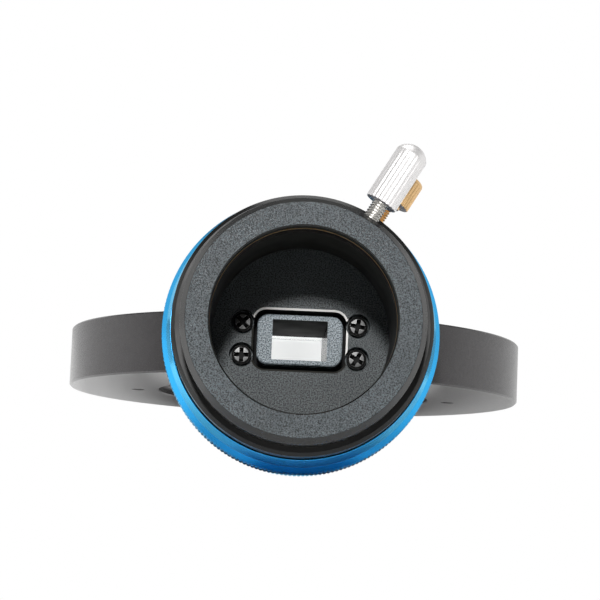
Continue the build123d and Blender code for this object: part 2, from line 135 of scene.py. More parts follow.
def grid(bm, rows, close_rows):
    """Quads between closed rows of points, and from the last row to the first if close_rows."""
    verts = [[bm.verts.new(p) for p in row] for row in rows]
    count = len(rows[0])
    for i in range(len(rows) if close_rows else len(rows) - 1):
        for j in range(count):
            a, b = verts[i], verts[(i + 1) % len(rows)]
            bm.faces.new((a[j], b[j], b[(j + 1) % count], a[(j + 1) % count]))
    return verts


def turned(name, outline, axis, segments, shape=None):
    """Closed outline of (depth, radius) points turned about the axis. shape(depth, radius, angle)
    gives a radius that changes round the axis, for flutes, knurls and threads."""
    bm = bmesh.new()
    rows = []
    for k in range(segments):
        angle = 2 * math.pi * k / segments
        rows.append([
            axis.point(d, shape(d, r, angle) if shape else r, angle) for d, r in outline
        ])
    grid(bm, rows, True)
    return make_object(name, bm)


def turned_hole(name, profile, axis, segments):
    """Cutter for a round hole: a (depth, radius) profile, closed to the axis at both ends."""
    outline = [(profile[0][0], 0)] + profile + [(profile[-1][0], 0)]
    return turned(name, outline, axis, segments)


def skinned(name, rows):
    """Solid through closed rows of points, with a flat face at each end."""
    bm = bmesh.new()
    verts = grid(bm, rows, False)
    bm.faces.new(verts[0])
    bm.faces.new(verts[-1])
    return make_object(name, bm)


def rounded_rectangle(width, height, corner):
    """Points of a rectangle with round corners, about its centre."""
    points = []
    for sx, sy, start in ((1, 1, 0), (-1, 1, 90), (-1, -1, 180), (1, -1, 270)):
        for k in range(RECTANGLE_STEPS + 1):
            a = math.radians(start + 90 * k / RECTANGLE_STEPS)
            x = sx * (width / 2 - corner) + corner * math.cos(a)
            y = sy * (height / 2 - corner) + corner * math.sin(a)
            points.append((x, y))
    return points


def lofted(name, sections):
    """Solid through rounded rectangles across the port: (depth, width, height, corner) each."""
    return skinned(name, [
        [MOUTH + Vector((x, depth, z)) * MM for x, z in rounded_rectangle(width, height, corner)]
        for depth, width, height, corner in sections
    ])


def block(name, low, high):
    """Box between two corners, in metres."""
    bm = bmesh.new()
    bmesh.ops.create_cube(bm, size=1)
    for v in bm.verts:
        v.co = Vector([lo + (hi - lo) * (c + 0.5) for lo, hi, c in zip(low, high, v.co)])
    return make_object(name, bm)


def cut(obj, *cutters):
    """Cut each of these objects out of obj, and remove them."""
    for cutter in cutters:
        modifier = obj.modifiers.new("cut", "BOOLEAN")
        modifier.operation = "DIFFERENCE"
        modifier.solver = "EXACT"
        modifier.object = cutter
        settle(obj)
        bpy.data.objects.remove(cutter)


def settle(obj):
    """Apply the object's modifiers to its mesh."""
    bpy.context.view_layer.update()
    evaluated = obj.evaluated_get(bpy.context.evaluated_depsgraph_get())
    mesh = bpy.data.meshes.new_from_object(evaluated)
    obj.modifiers.clear()
    obj.data = mesh


def joined(name, parts):
    """One object from several, which must not touch."""
    bm = bmesh.new()
    for part in parts:
        bm.from_mesh(part.data)
        bpy.data.objects.remove(part)
    return make_object(name, bm)


def smooth(obj):
    """Smooth shading with flat faces kept flat, and edges above SHARP_ANGLE kept sharp."""
    for polygon in obj.data.polygons:
        polygon.use_smooth = True
    obj.data.set_sharp_from_angle(angle=math.radians(SHARP_ANGLE))
    modifier = obj.modifiers.new("normals", "WEIGHTED_NORMAL")
    modifier.keep_sharp = True


def place(obj, body, slot, material, *nodes):
    """Shade a finished piece, ride it on its body and let it stand for its CAD nodes."""
    obj.data.materials.clear()
    obj.data.materials.append(material)
    smooth(obj)
    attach(obj, body)
    if nodes:
        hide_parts(*nodes)
    return obj


def paint(obj, material, chosen):
    """Give one more material to the faces that chosen(face) picks."""
    obj.data.materials.append(material)
    index = len(obj.data.materials) - 1
    for face in obj.data.polygons:
        if chosen(face):
            face.material_index = index


# ---------------------------------------------------------------- materials

COAT_ROUGHNESS = 0.25


class Shader:
    """A material's node tree with short calls to fill it."""

    def __init__(self, name):
        self.material = bpy.data.materials.new(name)
        self.material.use_nodes = True
        self.tree = self.material.node_tree
        self.bsdf = self.tree.nodes["Principled BSDF"]
        self.coordinates = self.add("ShaderNodeTexCoord").outputs["Object"]

    def add(self, kind, inputs=None, **settings):
        node = self.tree.nodes.new(kind)
        for key, value in settings.items():
            setattr(node, key, value)
        for key, value in (inputs or {}).items():
            self.set(node.inputs[key], value)
        return node

    def set(self, socket, value):
        if isinstance(value, bpy.types.NodeSocket):
            self.tree.links.new(value, socket)
        else:
            socket.default_value = value

    def surface(self, **inputs):
        for key, value in inputs.items():
            self.set(self.bsdf.inputs[key.replace("_", " ")], value)
        return self.material

    def math(self, operation, a, b=0.0):
        return self.add("ShaderNodeMath", {0: a, 1: b}, operation=operation).outputs[0]

    def noise(self, scale, detail, vector=None, roughness=0.5):
        """Noise with features about 1/scale metres across."""
        return self.add("ShaderNodeTexNoise", {
            "Vector": vector or self.coordinates,
            "Scale": scale,
            "Detail": detail,
            "Roughness": roughness,
        }).outputs["Fac"]

    def ramp(self, value, stops):
        """Colours along a value, given as (position, colour) stops."""
        node = self.add("ShaderNodeValToRGB", {"Fac": value})
        elements = node.color_ramp.elements
        while len(elements) < len(stops):
            elements.new(0.5)
        for element, (position, colour) in zip(elements, stops):
            element.position = position
            element.color = (*colour, 1)
        return node.outputs["Color"]

    def mix(self, factor, a, b):
        """From colour a at 0 to colour b at 1."""
        node = self.add("ShaderNodeMix", data_type="RGBA")
        self.set(node.inputs["Factor"], factor)
        self.set(node.inputs[6], a)
        self.set(node.inputs[7], b)
        return node.outputs[2]

    def range(self, value, low, high, out_low=0.0, out_high=1.0):
        return self.add("ShaderNodeMapRange", {
            "Value": value, "From Min": low, "From Max": high,
            "To Min": out_low, "To Max": out_high,
        }).outputs["Result"]

    def bump(self, height, strength, distance):
        return self.add("ShaderNodeBump", {
            "Height": height, "Strength": strength, "Distance": distance,
        }).outputs["Normal"]

    def split(self):
        """The three coordinates of a point."""
        return self.add("ShaderNodeSeparateXYZ", {"Vector": self.coordinates}).outputs

    def lathe_vector(self):
        """(depth, radius, 0) of a point about the port: noise on it makes a lathe tool's rings."""
        x, y, z = self.split()
        up = self.math("SUBTRACT", z, PORT_Z)
        squares = self.math("ADD", self.math("MULTIPLY", x, x), self.math("MULTIPLY", up, up))
        radius = self.math("SQRT", squares)
        return self.add("ShaderNodeCombineXYZ", {"X": y, "Y": radius}).outputs[0]

    def edges(self, width):
        """About 1 on convex and concave edges within this width, else 0."""
        soft = self.add("ShaderNodeBevel", {"Radius": width}, samples=6).outputs["Normal"]
        flat = self.add("ShaderNodeNewGeometry").outputs["Normal"]
        dot = self.add("ShaderNodeVectorMath", {0: soft, 1: flat}, operation="DOT_PRODUCT")
        return self.range(dot.outputs["Value"], 0.995, 0.93)

    def worn(self, colour, bare, amount, width, patch, low, high):
        """Colour with bare metal on this share of its edges, in patches of 1/patch metres."""
        patches = self.range(self.noise(*patch), low, high)
        edges = self.math("MULTIPLY", self.edges(width), patches)
        return self.mix(self.math("MULTIPLY", edges, amount), colour, (*bare, 1))


def blasted(name, dark, light, roughness, grain, bump, gloss, spread=0.05):
    """Bead-blasted anodised aluminium: fine speckle, slow tone changes and a little edge wear."""
    s = Shader(name)
    speckle = s.noise(grain, 3.0, roughness=0.65)
    fine = s.noise(grain * 2.6, 2.0)
    slow = s.noise(90, 3.0)
    middle = tuple((a + b) / 2 for a, b in zip(dark, light))
    colour = s.ramp(speckle, [(0.41, dark), (0.5, middle), (0.59, light)])
    colour = s.mix(s.range(slow, 0.3, 0.7, 0.0, 0.35), colour, (*dark, 1))
    colour = s.worn(colour, (0.5, 0.5, 0.5), 0.25, 0.00012, (1400, 3.0), 0.56, 0.7)
    height = s.math("ADD", speckle, s.math("MULTIPLY", fine, 0.5))
    return s.surface(
        Base_Color=colour,
        Metallic=0.0,
        Roughness=s.range(speckle, 0.35, 0.65, roughness + spread, roughness - spread),
        Specular_IOR_Level=gloss,
        Normal=s.bump(height, bump, 0.00006),
    )


def turned_metal(name, colour, roughness, metallic, rings, bump, gloss=0.5, tint=0.12, bare=None,
                 wear=0.0, edge=(1, 1, 1), coat=0.0):
    """Metal or anodising straight off the lathe: fine rings, slight stains and worn edges. bare is
    the colour under worn edges, and edge the colour of its shine at a flat angle."""
    s = Shader(name)
    marks = s.noise(rings, 3.0, s.lathe_vector())
    stains = s.noise(160, 4.0)
    darker = tuple(c * (1 - tint) for c in colour)
    shade = s.mix(s.range(stains, 0.35, 0.7), (*colour, 1), (*darker, 1))
    if wear:
        shade = s.worn(shade, bare, wear, 0.00014, (900, 4.0), 0.42, 0.6)
    return s.surface(
        Base_Color=shade,
        Metallic=metallic,
        Roughness=s.range(stains, 0.3, 0.7, roughness - 0.04, roughness + 0.06),
        Specular_IOR_Level=gloss,
        Specular_Tint=(*edge, 1),
        Coat_Weight=coat,
        Coat_Roughness=COAT_ROUGHNESS,
        Normal=s.bump(marks, bump, 0.00001),
    )


def plastic(name, colour, roughness):
    """Moulded plastic with a fine grain."""
    s = Shader(name)
    grain = s.noise(2500, 3.0)
    darker = tuple(c * 0.88 for c in colour)
    return s.surface(
        Base_Color=s.mix(s.range(grain, 0.3, 0.7), (*colour, 1), (*darker, 1)),
        Roughness=s.range(grain, 0.3, 0.7, roughness - 0.05, roughness + 0.05),
        Normal=s.bump(grain, 0.1, 0.00002),
    )


def optical_glass(name):
    """Clear glass with a little dust."""
    s = Shader(name)
    dust = s.noise(1500, 4.0)
    clean, dusty = (0.97, 0.985, 0.98, 1), (0.85, 0.87, 0.86, 1)
    return s.surface(
        Base_Color=s.mix(s.range(dust, 0.55, 0.8, 0.0, 0.3), clean, dusty),
        Roughness=s.range(dust, 0.6, 0.85, 0.0, 0.08),
        Transmission_Weight=1.0,
        IOR=1.52,
    )


def mirror_coat(name):
    """Silvered face with a faint haze."""
    s = Shader(name)
    haze = s.noise(400, 3.0)
    bright, dull = (0.95, 0.95, 0.95, 1), (0.9, 0.91, 0.92, 1)
    return s.surface(
        Base_Color=s.mix(s.range(haze, 0.4, 0.7, 0.0, 0.2), bright, dull),
        Metallic=1.0,
        Roughness=s.range(haze, 0.3, 0.7, 0.02, 0.05),
    )


BODY = blasted("body_anodised", (0.019, 0.0175, 0.018), (0.048, 0.045, 0.046), 0.25, 4200,
               bump=0.03, gloss=0.66)
TOP = blasted("body_top_anodised", (0.017, 0.016, 0.016), (0.045, 0.042, 0.043), 0.7, 4200,
              bump=0.1, gloss=0.05)
HEAD = blasted("holder_anodised", (0.001, 0.003, 0.004), (0.065, 0.082, 0.092), 0.29, 4000,
               bump=1.0, gloss=0.22, spread=0.09)
BASE = blasted("base_anodised", (0.001, 0.003, 0.004), (0.072, 0.086, 0.09), 0.34, 4000,
               bump=1.0, gloss=0.22, spread=0.09)
STALK = blasted("stalk_blasted", (0.03, 0.045, 0.055), (0.34, 0.39, 0.42), 0.4, 4000,
                bump=0.9, gloss=0.3, spread=0.08)
BORE = turned_metal("bore_black", (0.027, 0.027, 0.024), 0.5, 0.0, 2600, bump=0.3, gloss=0.12)
TUBE = turned_metal("tube_black", (0.008, 0.0085, 0.008), 0.26, 0.0, 5000, bump=0.2, gloss=0.38,
                    bare=(0.3, 0.3, 0.32), wear=0.35)
SHOULDER = turned_metal("shoulder_black", (0.01, 0.01, 0.0095), 0.42, 0.0, 4000, bump=0.2,
                        gloss=0.22)
BLUE = turned_metal("ring_blue_anodised", (0.012, 0.35, 0.78), 0.24, 1.0, 8000, bump=0.12,
                    bare=(0.45, 0.55, 0.7), wear=0.55, edge=(0.1, 0.85, 0.96), coat=0.3)
LAND = turned_metal("ring_blue_worn", (0.24, 0.56, 0.8), 0.3, 1.0, 8000, bump=0.2, tint=0.3,
                    edge=(0.5, 0.75, 0.95), coat=0.3)
STEEL = turned_metal("steel_bright", (0.78, 0.77, 0.74), 0.38, 1.0, 9000, bump=0.05)
NICKEL = turned_metal("knob_nickel", (0.83, 0.815, 0.81), 0.42, 0.6, 7000, tint=0.05, bump=0.03)
BRASS = turned_metal("brass_machined", (0.8, 0.53, 0.26), 0.36, 1.0, 7000, tint=0.12, bump=0.06)
FOOT = turned_metal("knob_foot", (0.3, 0.3, 0.33), 0.45, 0.15, 7000, bump=0.05)
# Near-white bare-metal colour used as a painted highlight on the slot's chamfer.
CHAMFER_HIGHLIGHT = turned_metal("painted_highlight_metal", (1, 0.99, 0.96), 0.4, 0.0, 4000, bump=0.1, tint=0.03)
WALL = turned_metal("tunnel_wall", (0.05, 0.05, 0.05), 0.22, 0.3, 2600, bump=0.05, gloss=0.8)
# Near-black brass: painted shade on the compression ring beyond its near lip, inside the bore.
BRASS_SHADE = turned_metal("brass_painted_shade", (0.016, 0.01, 0.007), 0.45, 0.5, 4000, bump=0.2,
                       gloss=0.2)
OXIDE = turned_metal("screw_black_oxide", (0.016, 0.017, 0.017), 0.3, 0.0, 6000, bump=0.2,
                     tint=0.4, bare=(0.5, 0.5, 0.48), wear=0.8)
# Near-black painted shade: the patch behind the slot, the screws' cross recesses and the tunnel's
# floor and ceiling.
SHADE_BLACK = turned_metal("painted_shade_black", (0.004, 0.004, 0.004), 0.6, 0.0, 3000, bump=0.1,
                      gloss=0.1)
NYLON = plastic("nylon_natural", (0.8, 0.79, 0.74), 0.45)
GLASS = optical_glass("prism_glass")
MIRROR = mirror_coat("prism_mirror")


# ---------------------------------------------------------------- pieces on the body

REGISTER_RADIUS = 27.1
REGISTER_DEPTH = 1.2
APERTURE_RADIUS = 26.2
EDGE_BREAK = 0.3
LIP_BREAK = 0.2
RIDGES = 12
RIDGE_DEPTH = 0.3
FACE_CIRCLE_RADIUS = 31.25
FACE_HOLE_RADIUS = 1.25
FACE_HOLE_RIM = 1.4
FACE_HOLES = 6
OVERSHOOT = 0.1
SLOT_WIDTH, SLOT_HEIGHT, SLOT_CORNER, SLOT_BREAK = 16.8, 10.9, 2.2, 0.35
SLOT_GAP, MASK_DEPTH = 0.1, 0.05
SHANK_WIDTH, SHANK_HEIGHT, SHANK_CORNER = 11.6, 8.4, 0.8
LOCK_HOLE_Y, LOCK_HOLE_RADIUS = -40.0, 1.5
SCREW_X, SCREW_Z = 10.45, 3.0
SCREW_TURNS = {(-1, 1): 45.0, (-1, -1): 0.0, (1, 1): 10.0, (1, -1): 30.0}


def make_body():
    """Disc with its registers, ridges, flat, slot and holes. A shallow patch of painted shade
    behind the slot keeps light from showing beside the stalk."""
    t, r = BODY_THICKNESS, BODY_RADIUS
    pitch = (t - 2 * REGISTER_DEPTH) / RIDGES
    corners = [
        (0, r - EDGE_BREAK, 0.12), (EDGE_BREAK, r, 0.12),
        (t - EDGE_BREAK, r, 0.12), (t, r - EDGE_BREAK, 0.12),
        (t, REGISTER_RADIUS + LIP_BREAK, 0.05), (t - LIP_BREAK, REGISTER_RADIUS, 0.05),
        (t - REGISTER_DEPTH, REGISTER_RADIUS, 0.05), (t - REGISTER_DEPTH, APERTURE_RADIUS, 0.05),
    ]
    for i in range(RIDGES):
        z = t - REGISTER_DEPTH - i * pitch
        corners.append((z - pitch / 2, APERTURE_RADIUS - RIDGE_DEPTH, 0.03))
        corners.append((z - pitch, APERTURE_RADIUS, 0.03))
    corners += [
        (REGISTER_DEPTH, REGISTER_RADIUS, 0.05), (LIP_BREAK, REGISTER_RADIUS, 0.05),
        (0, REGISTER_RADIUS + LIP_BREAK, 0.05),
    ]
    body = turned("body", rounded(corners, 2), OPTICAL, BODY_SEGMENTS)
    flat = block("flat", (-0.03, -0.06, -0.01), (0.03, MOUTH.y + SEAT_DEPTH * MM, 0.03))
    cut(body, flat)
    slot = lofted("slot", [
        (d, SHANK_WIDTH + 2 * SLOT_GAP, SHANK_HEIGHT + 2 * SLOT_GAP, SHANK_CORNER)
        for d in (SEAT_DEPTH - 2, -MOUTH.y / MM - APERTURE_RADIUS + 3)
    ])
    cut(body, slot)
    mask = lofted("mask", [
        (d, SLOT_WIDTH + 0.4, SLOT_HEIGHT + 0.1, SLOT_CORNER)
        for d in (SEAT_DEPTH - 0.5, SEAT_DEPTH + MASK_DEPTH)
    ])
    cut(body, mask)
    holes = []
    for i in range(FACE_HOLES):
        angle = 2 * math.pi * i / FACE_HOLES
        centre = Vector((math.cos(angle), math.sin(angle), 0)) * FACE_CIRCLE_RADIUS * MM
        profile = [
            (-OVERSHOOT, FACE_HOLE_RIM + OVERSHOOT), (LIP_BREAK, FACE_HOLE_RADIUS),
            (t - LIP_BREAK, FACE_HOLE_RADIUS), (t + OVERSHOOT, FACE_HOLE_RIM + OVERSHOOT),
        ]
        upright = Axis(centre, (0, 0, 1), (1, 0, 0))
        holes.append(turned_hole("hole", profile, upright, SMALL_HOLE_SEGMENTS))
    cut(body, joined("holes", holes))
    side = Axis((0, LOCK_HOLE_Y * MM, PORT_Z), (1, 0, 0), (0, 0, 1))
    profile = [(-r, LOCK_HOLE_RADIUS), (r, LOCK_HOLE_RADIUS)]
    cut(body, turned_hole("side_hole", profile, side, SMALL_HOLE_SEGMENTS))
    place(body, "guider", "body_black", BODY, "guider_body")

    def behind_slot(face):
        sunk = depth_of(face.center) - SEAT_DEPTH
        on_mask = 0.5 * MASK_DEPTH < sunk < MASK_DEPTH + 0.02
        return on_mask and radius_of(face.center) < SLOT_WIDTH

    def on_top(face):
        upward = face.normal.z > 0.9 and face.center.z > (t - REGISTER_DEPTH) * MM
        return upward and not behind_slot(face)

    # painted shade on the shallow patch behind the slot
    paint(body, SHADE_BLACK, behind_slot)
    paint(body, TOP, on_top)


FLOOR_DEPTH = 31.3
SLEEVE_START, SLEEVE_BORE, SLEEVE_RADIUS = 14.9, 17.26, 20.5
RETAINER_START, RETAINER_END, RETAINER_GROOVE = 25.6, 26.6, 19.7
FLANGE_START, FLANGE_RADIUS, FLANGE_BEVEL = 30.0, 23.8, 1.0
TROUGH_END, TROUGH_RADIUS = 35.2, 22.2
COUNTERBORE_RADIUS, COUNTERBORE_DEPTH, SCREW_HOLE_RADIUS = 2.15, 1.7, 1.15
LOCK_DEPTH, LOCK_ANGLE = 32.6, 30.4
CLAMP_DEPTH, CLAMP_ANGLE = 4.7, 30.5
THUMB_HOLE_RADIUS, LOCK_COUNTERSINK, CLAMP_COUNTERSINK = 1.5, 2.05, 2.0
# Heights of the painted highlight on the slot chamfer's right, and the offset below the top where
# its top part starts.
HIGHLIGHT_LOW, HIGHLIGHT_HIGH = -0.7, 1.5
HIGHLIGHT_CORNER = 0.5


def screw_axis(x, z, depth):
    """Axis of a base screw, running in along the port."""
    return Axis(MOUTH + Vector((x * SCREW_X, depth, z * SCREW_Z)) * MM, (0, 1, 0), (0, 0, 1))


def make_base():
    """Port floor, sleeve and flange. A near-white painted highlight, bare metal catching the light,
    lies on the slot's chamfer along its top and, over the band of heights given above, on its
    right."""
    f, e = FLOOR_DEPTH, EDGE_BREAK
    corners = [
        (f, 0, 0), (f, SLEEVE_BORE, 0.1), (SLEEVE_START, SLEEVE_BORE, e),
        (SLEEVE_START, SLEEVE_RADIUS, e), (RETAINER_START, SLEEVE_RADIUS, 0.05),
        (RETAINER_START, RETAINER_GROOVE, 0.05), (RETAINER_END, RETAINER_GROOVE, 0.05),
        (RETAINER_END, SLEEVE_RADIUS, 0.05), (TROUGH_END, SLEEVE_RADIUS, 0.2),
        (TROUGH_END, TROUGH_RADIUS, 0.2), (FLANGE_START, TROUGH_RADIUS, 0.1),
        (FLANGE_START, FLANGE_RADIUS, e), (SEAT_DEPTH - FLANGE_BEVEL, FLANGE_RADIUS, 0.15),
        (SEAT_DEPTH, FLANGE_RADIUS - FLANGE_BEVEL, 0.15), (SEAT_DEPTH, 0, 0),
    ]
    base = turned("base", rounded(corners, 3), PORT, BASE_SEGMENTS)
    slot = lofted("slot", [
        (f - OVERSHOOT, SLOT_WIDTH + 2 * SLOT_BREAK + 0.2, SLOT_HEIGHT + 2 * SLOT_BREAK + 0.2,
         SLOT_CORNER + SLOT_BREAK + 0.1),
        (f + SLOT_BREAK, SLOT_WIDTH, SLOT_HEIGHT, SLOT_CORNER),
        (SEAT_DEPTH + 1, SLOT_WIDTH, SLOT_HEIGHT, SLOT_CORNER),
    ])
    cut(base, slot)
    bores = []
    for x, z in SCREW_TURNS:
        profile = [
            (-OVERSHOOT, COUNTERBORE_RADIUS + 0.2), (0.1, COUNTERBORE_RADIUS),
            (COUNTERBORE_DEPTH, COUNTERBORE_RADIUS), (COUNTERBORE_DEPTH, SCREW_HOLE_RADIUS),
            (SEAT_DEPTH - f + 1, SCREW_HOLE_RADIUS),
        ]
        bores.append(turned_hole("bore", profile, screw_axis(x, z, f), HOLE_SEGMENTS))
    cut(base, joined("bores", bores))
    cut(base, turned_hole("lock_hole", [
        (TROUGH_RADIUS - 0.6, THUMB_HOLE_RADIUS), (FLANGE_RADIUS - 0.25, THUMB_HOLE_RADIUS),
        (FLANGE_RADIUS + 0.3, LOCK_COUNTERSINK),
    ], radial_axis(LOCK_DEPTH, LOCK_ANGLE), HOLE_SEGMENTS))
    place(base, "guider", "base_black", BASE, "focuser_base")

    def in_slot(face):
        x, z = face.center.x / MM, (face.center.z - PORT_Z) / MM
        inside = radius_of(face.center) < TROUGH_RADIUS
        below_floor = f + 0.01 < depth_of(face.center) < SEAT_DEPTH - 0.1
        beside = abs(x) < SLOT_WIDTH / 2 + SLOT_BREAK and abs(x) < SCREW_X - SCREW_HOLE_RADIUS
        return inside and below_floor and beside and abs(z) < SLOT_HEIGHT / 2 + SLOT_BREAK

    def lit_chamfer(face):
        z = (face.center.z - PORT_Z) / MM
        top = z > SLOT_HEIGHT / 2 - SLOT_CORNER + HIGHLIGHT_CORNER
        right = face.center.x > 0 and HIGHLIGHT_LOW < z < HIGHLIGHT_HIGH
        return in_slot(face) and 0.2 < abs(face.normal.y) < 0.95 and (top or right)

    # painted highlight on the chamfer's top and right; the rest of the slot takes the bore's black
    paint(base, CHAMFER_HIGHLIGHT, lit_chamfer)
    paint(base, BORE, lambda face: in_slot(face) and not lit_chamfer(face))


HEAD_SINK = 0.35
SCREW_HEAD_RADIUS, SCREW_HEAD_HEIGHT = 1.8, 1.35
CROSS_LENGTH, CROSS_WIDTH, CROSS_DEPTH = 2.75, 0.8, 1.1
SCREW_SHANK_RADIUS, SCREW_SHANK_LENGTH = 0.98, 8.55


def make_cross(axis, angle):
    """Two tapered bars that cut a screw's cross recess, turned by this many degrees."""
    arms = []
    for turn in (0, 90):
        rows = []
        for depth, scale in ((-0.2, 1.06), (CROSS_DEPTH, 0.5)):
            half_length = CROSS_LENGTH / 2 * scale
            half_width = CROSS_WIDTH / 2 * (0.7 + 0.3 * scale)
            row = []
            for x, y in ((1, 1), (-1, 1), (-1, -1), (1, -1)):
                p = Vector((x * half_length, y * half_width))
                a = math.atan2(p.y, p.x) + math.radians(turn + angle)
                row.append(axis.point(depth, p.length, a))
            rows.append(row)
        arms.append(skinned("arm", rows))
    return arms


def make_screws():
    """Four screws in the port's floor, with painted shade inside their cross recesses."""
    screws = []
    for (x, z), angle in SCREW_TURNS.items():
        axis = screw_axis(x, z, FLOOR_DEPTH + HEAD_SINK)
        r, h = SCREW_HEAD_RADIUS, SCREW_HEAD_HEIGHT
        corners = [
            (0, 0, 0), (0.02, r * 0.75, 0.1), (0.14, r - 0.04, 0.1), (0.3, r, 0.08), (h, r, 0.08),
            (h, SCREW_SHANK_RADIUS, 0.05), (SCREW_SHANK_LENGTH, SCREW_SHANK_RADIUS, 0.2),
            (SCREW_SHANK_LENGTH, 0, 0),
        ]
        screw = turned("screw", rounded(corners, 3), axis, HOLE_SEGMENTS)
        cut(screw, *make_cross(axis, angle))
        screws.append(screw)
    screws = place(joined("port_screws", screws), "guider", "screw_black", OXIDE, "base_screws")
    front = MOUTH.y + (FLOOR_DEPTH + HEAD_SINK + 0.25) * MM

    def in_recess(face):
        centre = face.center
        near = min(
            math.hypot(centre.x - x * SCREW_X * MM, centre.z - PORT_Z - z * SCREW_Z * MM)
            for x, z in SCREW_TURNS
        )
        steep = abs(face.normal.y) < 0.97
        return near < (SCREW_HEAD_RADIUS - 0.2) * MM and (centre.y > front or steep)

    # painted shade inside the cross recesses
    paint(screws, SHADE_BLACK, in_recess)


# ---------------------------------------------------------------- focuser

RING_START, RING_BORE, RING_NOSE = 13.6, 22.76, 22.92
RING_NOSE_END, RING_LAND, RING_LAND_END = 18.7, 23.72, 19.8
BAND_START, BAND_RADIUS = 21.6, 24.6
GRIP_START, GRIP_RADIUS, GRIP_TEETH, GRIP_DEPTH = 23.3, 24.75, 200, 0.2
RING_END, CARRIER_START, CARRIER_RADIUS = 29.7, 27.03, 23.29


def knurl(depth, radius, angle):
    """Rounded straight ridges on the grip, with smooth metal before it."""
    if depth < GRIP_START:
        return radius
    wave = abs(math.cos(angle * GRIP_TEETH / 2))
    floor = GRIP_RADIUS - GRIP_DEPTH * (1 - wave ** 0.7)
    return min(radius, floor)


def make_ring():
    """Blue ring: tapered nose, worn land, band and knurled grip."""
    corners = [
        (RING_START, RING_BORE, 0.05), (RING_START, RING_NOSE, 0.12),
        (RING_NOSE_END, RING_LAND, 0.1), (RING_LAND_END, RING_LAND, 0.1),
        (BAND_START, BAND_RADIUS, 0.2), (GRIP_START - 0.01, BAND_RADIUS, 0.03),
        (GRIP_START + 0.02, GRIP_RADIUS, 0), (RING_END, GRIP_RADIUS, 0.3),
        (RING_END, CARRIER_RADIUS, 0.05), (CARRIER_START, CARRIER_RADIUS, 0.05),
        (CARRIER_START, RING_BORE, 0.05),
    ]
    ring = turned("blue_ring", rounded(corners, 4), PORT, GRIP_TEETH * 6, knurl)
    place(ring, "focus_ring", "ring_blue", BLUE, "focusing_ring")

    def on_land(face):
        along = RING_NOSE_END - 0.15 < depth_of(face.center) < RING_LAND_END + 0.15
        return along and radius_of(face.center) > RING_NOSE

    paint(ring, LAND, on_land)


HEAD_LENGTH, HEAD_RADIUS, FACE_RADIUS, BEVEL_LENGTH = 7.7, 20.93, 20.0, 1.8
BORE_RADIUS, BORE_BREAK, INNER_TUBE_RADIUS = 15.9, 0.25, 17.2
SPIGOT_RADIUS, SPIGOT_END = 19.2, 9.6
GROOVE_HALF, GROOVE_RADIUS = 2.1, 17.0
SPIGOT_GAP = 0.01
DRAWTUBE_RADIUS, DRAWTUBE_BEVEL, SKIRT_BORE, SKIRT_END = 22.58, 0.65, 20.65, 20.4
GUIDE_RADIUS, GUIDE_HALF_WIDTH = 21.45, 1.0


def make_holder():
    """Head with the eyepiece bore: blasted face, turned sides and a dull bore."""
    near, far = CLAMP_DEPTH - GROOVE_HALF, CLAMP_DEPTH + GROOVE_HALF
    corners = [
        (0, BORE_RADIUS + BORE_BREAK, 0.08), (0, FACE_RADIUS, 0.12),
        (BEVEL_LENGTH, HEAD_RADIUS, 0.15), (HEAD_LENGTH, HEAD_RADIUS, 0),
        (HEAD_LENGTH, SPIGOT_RADIUS, 0), (SPIGOT_END, SPIGOT_RADIUS, 0.1),
        (SPIGOT_END, INNER_TUBE_RADIUS, 0.1), (HOLDER_END, INNER_TUBE_RADIUS, 0.2),
        (HOLDER_END, BORE_RADIUS, 0.2), (far, BORE_RADIUS, 0.05), (far, GROOVE_RADIUS, 0),
        (near, GROOVE_RADIUS, 0), (near, BORE_RADIUS, 0.05), (BORE_BREAK, BORE_RADIUS, 0.05),
    ]
    holder = turned("clamp_head", rounded(corners, 4), PORT, TUBE_SEGMENTS)
    cut(holder, turned_hole("clamp_hole", [
        (GROOVE_RADIUS - 0.5, THUMB_HOLE_RADIUS), (HEAD_RADIUS - 0.2, THUMB_HOLE_RADIUS),
        (HEAD_RADIUS + 0.3, CLAMP_COUNTERSINK),
    ], radial_axis(CLAMP_DEPTH, CLAMP_ANGLE), HOLE_SEGMENTS))
    place(holder, "focus_tube", "holder_black", HEAD, "eyepiece_holder")

    def in_bore(face):
        return radius_of(face.center) < BORE_RADIUS + 0.05 and depth_of(face.center) > 0.01

    paint(holder, TUBE, lambda face: depth_of(face.center) > 0.02)
    paint(holder, BORE, in_bore)


def make_drawtube():
    """Black tube with a satin shoulder, and grooves for the guide pins."""
    inner, bevel = SPIGOT_RADIUS + SPIGOT_GAP, DRAWTUBE_BEVEL
    corners = [
        (HEAD_LENGTH, inner, 0), (HEAD_LENGTH, DRAWTUBE_RADIUS - bevel, 0.08),
        (HEAD_LENGTH + bevel, DRAWTUBE_RADIUS, 0.15), (SKIRT_END, DRAWTUBE_RADIUS, 0.1),
        (SKIRT_END, SKIRT_BORE, 0.1), (SPIGOT_END, SKIRT_BORE, 0.1), (SPIGOT_END, inner, 0),
    ]
    tube = turned("focus_drawtube", rounded(corners, 5), PORT, TUBE_SEGMENTS)
    for side in (-1, 1):
        x = sorted((side * (SKIRT_BORE - 1) * MM, side * GUIDE_RADIUS * MM))
        low = (x[0], MOUTH.y + SPIGOT_END * MM, PORT_Z - GUIDE_HALF_WIDTH * MM)
        high = (x[1], MOUTH.y + (SKIRT_END + 1) * MM, PORT_Z + GUIDE_HALF_WIDTH * MM)
        cut(tube, block("guide", low, high))
    place(tube, "focus_tube", "holder_black", TUBE, "drawtube")
    paint(tube, SHOULDER, lambda face: depth_of(face.center) < HEAD_LENGTH + 0.01)


COMPRESSION_HALF, COMPRESSION_WALL, COMPRESSION_SPLIT = 1.95, 0.85, 1.2
COMPRESSION_LIP = 0.9


